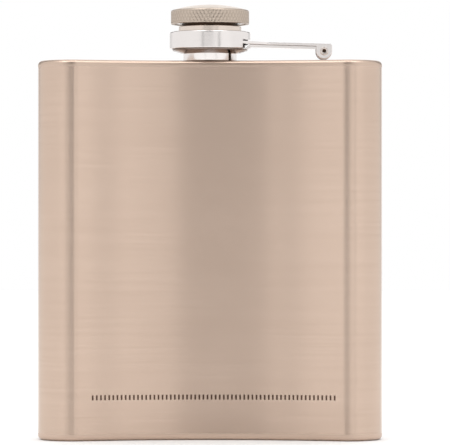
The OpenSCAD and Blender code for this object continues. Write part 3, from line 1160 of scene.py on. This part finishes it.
@dataclass
class Cap:
    """Screw cap: barrel with an inside thread, knurled head, seal, and the clip that holds it."""

    thread: Helix
    barrel_radius: float = 8.65
    bore: float = 7.1
    undercut: float = 7.7
    undercut_height: float = 0.65
    disc: float = 9.75
    disc_gap: float = 0.2
    disc_height: float = 1.6
    groove: float = 8.15
    groove_play: float = 0.07
    head_thick: float = 0.95
    head_edge: float = 0.5
    dome: float = 1.5
    knurl_depth: float = 0.12
    knurl_starts: int = 64
    knurl_lead: float = 1.83
    clip_gap: float = 4.0
    recess: float = 4.3
    recess_edge: float = 4.6
    recess_depth: float = 0.22
    head: Extent = extent_of("cap_head")
    barrel: Extent = extent_of("cap_barrel")
    seal: Extent = extent_of("cap_seal")
    clip: Extent = extent_of("cap_clip")

    @property
    def side_top(self) -> float:
        """Height where the head's side meets its rounded edge."""
        return self.head.high.z - self.dome - self.head_edge

    def knurl(self, level: float, angle: float) -> float:
        """Depth of the knurl.

        Args:
            level: Height along the axis.
            angle: Angle round the axis, in radians.

        Returns:
            From 0 on a crest to the full depth in a groove.
        """
        low, high = self.head.low.z + 0.25, self.side_top
        turn = self.knurl_starts * angle / (2 * math.pi)
        rise = (level - low) / self.knurl_lead
        grooves = (max(0.0, 1 - abs(line - round(line)) / 0.3) for line in (turn + rise, turn - rise))
        fade = min(level - low, high + 0.1 - level) / 0.15
        return self.knurl_depth * max(grooves) * clamped(fade)

    def head_piece(self) -> bpy.types.Object:
        """Hollow head with a diamond knurl and a shallow dome."""
        outer, low, crest = self.head.high.x, self.head.low.z, self.head.high.z
        flat = outer - self.head_edge
        shoulder = crest - self.dome
        dome = (flat**2 + self.dome**2) / (2 * self.dome)
        lean = math.degrees(math.asin(flat / dome))
        chain = arc((0, crest - dome), dome, 90, 90 - lean, 26)
        chain[0] = (0, crest)
        chain += arc((flat, shoulder - self.head_edge), self.head_edge, 90, 0, 7)[1:]
        chain += [(outer, z) for z in levels(self.side_top, low + 0.2, self.knurl_lead / 16)[1:]]
        chain += arc((outer - 0.2, low + 0.2), 0.2, 0, -90, 4)[1:]
        inner = outer - self.head_thick
        chain += [(inner, low), (inner, shoulder - self.head_thick), (0, shoulder - self.head_thick)]

        def swell(radius: float, level: float, angle: float) -> float:
            """Cuts the knurl into the side."""
            return radius - self.knurl(level, angle) if abs(radius - outer) < TINY else radius

        return turned("knurled_head", chain, around=8 * self.knurl_starts, swell=swell)

    def barrel_piece(self) -> bpy.types.Object:
        """Barrel with its groove, undercut, inside thread and the disc under the head."""
        low = self.barrel.low.z
        disc_low = self.head.low.z + self.disc_gap
        disc_top = disc_low + self.disc_height
        notch = self.head.low.z - self.undercut_height
        roof = self.seal.high.z + self.groove_play
        corners: list[Corner] = [
            (0, disc_top, 0),
            (self.disc, disc_top, 0.1),
            (self.disc, disc_low, 0.1),
            (self.undercut, disc_low, 0.1),
            (self.undercut, notch, 0.15),
            (self.barrel_radius, notch, 0.2),
            (self.barrel_radius, self.clip.high.z + self.groove_play, 0.05),
            (self.groove, self.clip.high.z + self.groove_play, 0.05),
            (self.groove, self.clip.low.z - self.groove_play, 0.05),
            (self.barrel_radius, self.clip.low.z - self.groove_play, 0.05),
            (self.barrel_radius, low, 0.18),
            (self.bore, low, 0.25),
        ]
        corners += [(self.bore, z, 0) for z in levels(low + 0.4, self.seal.low.z, 0.1)]
        corners += [(self.bore, roof, 0), (0, roof, 0)]

        def swell(radius: float, level: float, angle: float) -> float:
            """Adds the inside thread to the bore."""
            plain = abs(radius - self.bore) < TINY and low + 0.3 < level < self.seal.low.z + 0.01
            return radius - self.thread.ridge(level, angle) if plain else radius

        return turned("threaded_barrel", soften(corners), swell=swell)

    def seal_piece(self) -> bpy.types.Object:
        """Silicone disc with a shallow recess that leaves a ring to press on the spout."""
        rim, low, high = self.seal.high.x, self.seal.low.z, self.seal.high.z
        corners: list[Corner] = [
            (0, low + self.recess_depth, 0),
            (self.recess, low + self.recess_depth, 0.12),
            (self.recess_edge, low, 0.12),
            (rim, low, 0.2),
            (rim, high, 0.2),
            (0, high, 0),
        ]
        return turned("seal_disc", soften(corners))

    def clip_piece(self) -> bpy.types.Object:
        """Open spring clip in the barrel's groove."""
        inner, outer = self.groove + self.groove_play, self.clip.high.x
        low, high = self.clip.low.z, self.clip.high.z
        section = (inner, low), (outer, low), (outer, high), (inner, high)
        ring = turned("spring_clip", soften([(radius, z, 0.1) for radius, z in section]))
        half = self.clip_gap / 2
        return worked(ring, Cut.REMOVE, block("gap", (-half, 0, low - 1), (half, outer + 1, high + 1)))

    def build(self, finishes: Finishes) -> None:
        """Builds the cap's four pieces."""
        fitted(self.clip_piece(), "cap_clip", finishes.clip, "cap_clip")
        fitted(self.barrel_piece(), "cap", finishes.barrel, "cap_barrel")
        fitted(self.head_piece(), "cap", finishes.knurl, "cap_head")
        fitted(self.seal_piece(), "cap", finishes.seal, "cap_seal")


# Studio


@dataclass(frozen=True)
class Softbox:
    """Large soft light."""

    name: str
    place: Place
    size: Point
    glow: float

    def hang(self, target: Vector) -> None:
        """Hangs the light and aims it. Its glow is the brightness of its face."""
        lamp = bpy.data.lights.new(self.name, "AREA")
        lamp.shape = "RECTANGLE"
        lamp.size, lamp.size_y = self.size
        lamp.energy = self.glow * math.pi * self.size[0] * self.size[1]
        light = bpy.data.objects.new(self.name, lamp)
        bpy.context.scene.collection.objects.link(light)
        light.location = self.place
        light.rotation_euler = (target - light.location).to_track_quat("-Z", "Y").to_euler()
        light.visible_camera = False
        light.visible_glossy = False


@dataclass(frozen=True)
class Flag:
    """Part of the room that is darker or brighter, seen from the object. Angles are in degrees.

    Bearing runs from straight ahead of the hollow front, 0, towards the hinge, 90, and the back, 180.
    """

    bearing: Point
    height: Point
    soft: float
    glow: float


@dataclass(frozen=True)
class Studio:
    """Pale floor, soft light and camera. Lengths are metres here."""

    floor_radius: float = 2.0
    floor_tone: Colour = (0.86, 0.86, 0.86, 1)
    backdrop: float = 1.0
    room: float = 0.98
    daylight: float = 1.3
    flags: tuple[Flag, ...] = (
        Flag(bearing=(-75, 75), height=(52, 80), soft=6, glow=3.4),  # bright ceiling over the front
        Flag(bearing=(14, 60), height=(-100, 54), soft=12, glow=1.04),  # bright wall on the hinge side
        Flag(bearing=(-26, 19), height=(9, 54), soft=14, glow=0.6),  # dim wall ahead
        Flag(bearing=(-15, 8), height=(7, 66), soft=2.5, glow=0.0),  # dark band up its middle
        Flag(bearing=(-23, -17), height=(-3, 3.5), soft=2.5, glow=0.2),  # thin dark strips, low in front
        Flag(bearing=(23, 29), height=(-3, 3.5), soft=3, glow=0.0),
        Flag(bearing=(138, 158), height=(6, 58), soft=9, glow=0.1),  # dark strips behind
        Flag(bearing=(-158, -138), height=(6, 58), soft=9, glow=0.1),
        Flag(bearing=(164, 200), height=(3, 40), soft=7, glow=1.4),  # bright wall straight behind
        Flag(bearing=(-200, -164), height=(3, 40), soft=7, glow=1.4),
    )
    lens: float = 251.6
    stand_off: float = 0.850
    camera_height: float = 0.0577
    shift: Point = (0.0333, 0.0122)

    def floor(self) -> None:
        """Lays a round pale floor just below the base."""
        draft = Draft()
        ring = draft.loop((*point, -0.05) for point in arc((0, 0), self.floor_radius / MM, 0, 360, 96)[:-1])
        draft.faces.append(tuple(ring))
        disc = draft.make("studio_floor")
        disc.data.transform(Matrix.Scale(MM, 4))
        bench = Surface("studio_floor")
        grain = bench.noise(bench.place, (40, 40, 40))
        tone = tuple(0.97 * c for c in self.floor_tone[:3]) + (1,)
        disc.data.materials.append(
            bench.done({"Base Color": bench.blend(grain, self.floor_tone, tone), "Roughness": 0.9})
        )

    def surroundings(self) -> None:
        """Makes the room: white behind the object, and in its reflections an even room with its flags."""
        world = bpy.data.worlds.new("studio")
        bpy.context.scene.world = world
        world.use_nodes = True
        world.cycles.sampling_method = "NONE"
        bench = Bench(world.node_tree)
        x, y, z = bench.parts(bench.node("ShaderNodeTexCoord", output="Generated"))
        height = z.arcsine()
        bearing = x.turned_from(0 - y)
        seen: Wire | float = self.room
        for flag in self.flags:
            mask = bearing.within(*flag.bearing, flag.soft) * height.within(*flag.height, flag.soft)
            seen = bench.node("ShaderNodeMix", sockets={0: mask, 2: seen, 3: flag.glow})
        level: Wire | float = self.daylight
        for ray, value in (("Is Glossy Ray", seen), ("Is Camera Ray", self.backdrop)):
            path = bench.node("ShaderNodeLightPath", output=ray)
            level = bench.node("ShaderNodeMix", sockets={0: path, 2: level, 3: value})
        glow = bench.node("ShaderNodeBackground", sockets={"Color": (1, 1, 1, 1), "Strength": level})
        bench.node("ShaderNodeOutputWorld", sockets={"Surface": glow})

    def lights(self) -> None:
        """Hangs two soft lights, one above and one in front, that only matte surfaces see."""
        target = Vector((0, 0, 0.06))
        for name, place, size, glow in (
            ("above", (0, 0, 1.7), (1.6, 1.6), 0.8),
            ("front", (-0.6, -1.6, 1.0), (1.2, 1.2), 0.4),
        ):
            Softbox(name, place, size, glow).hang(target)

    def camera(self) -> None:
        """Sets the camera in front of the object, level with its middle."""
        lens = bpy.data.cameras.new("camera")
        lens.lens = self.lens
        lens.shift_x, lens.shift_y = self.shift
        lens.clip_start, lens.clip_end = 0.05, 20
        view = bpy.data.objects.new("camera", lens)
        bpy.context.scene.collection.objects.link(view)
        view.location = (0, CAD_BOX[0].y - self.stand_off, self.camera_height)
        view.rotation_euler = (math.pi / 2, 0, 0)
        bpy.context.scene.camera = view

    def build(self) -> None:
        """Builds the studio."""
        bpy.context.scene.view_settings.view_transform = "Standard"
        self.floor()
        self.surroundings()
        self.lights()
        self.camera()
        log.info("studio ready")


def main() -> None:
    """Builds the flask around its frame, and the studio."""
    logging.basicConfig(level=logging.INFO, format="%(name)s: %(message)s")
    spout = NeckSpout()
    cap = Cap(thread=spout.thread().mate())
    hinge = Hinge()
    neck_arm, cap_arm = NeckArm(hinge), CapArm(hinge)
    finishes = Finishes.made_for(cap, cap_arm, neck_arm)
    for part in (FlaskBody(), spout, neck_arm, cap_arm, cap):
        part.build(finishes)
    Studio().build()


if __name__ == "__main__":
    main()
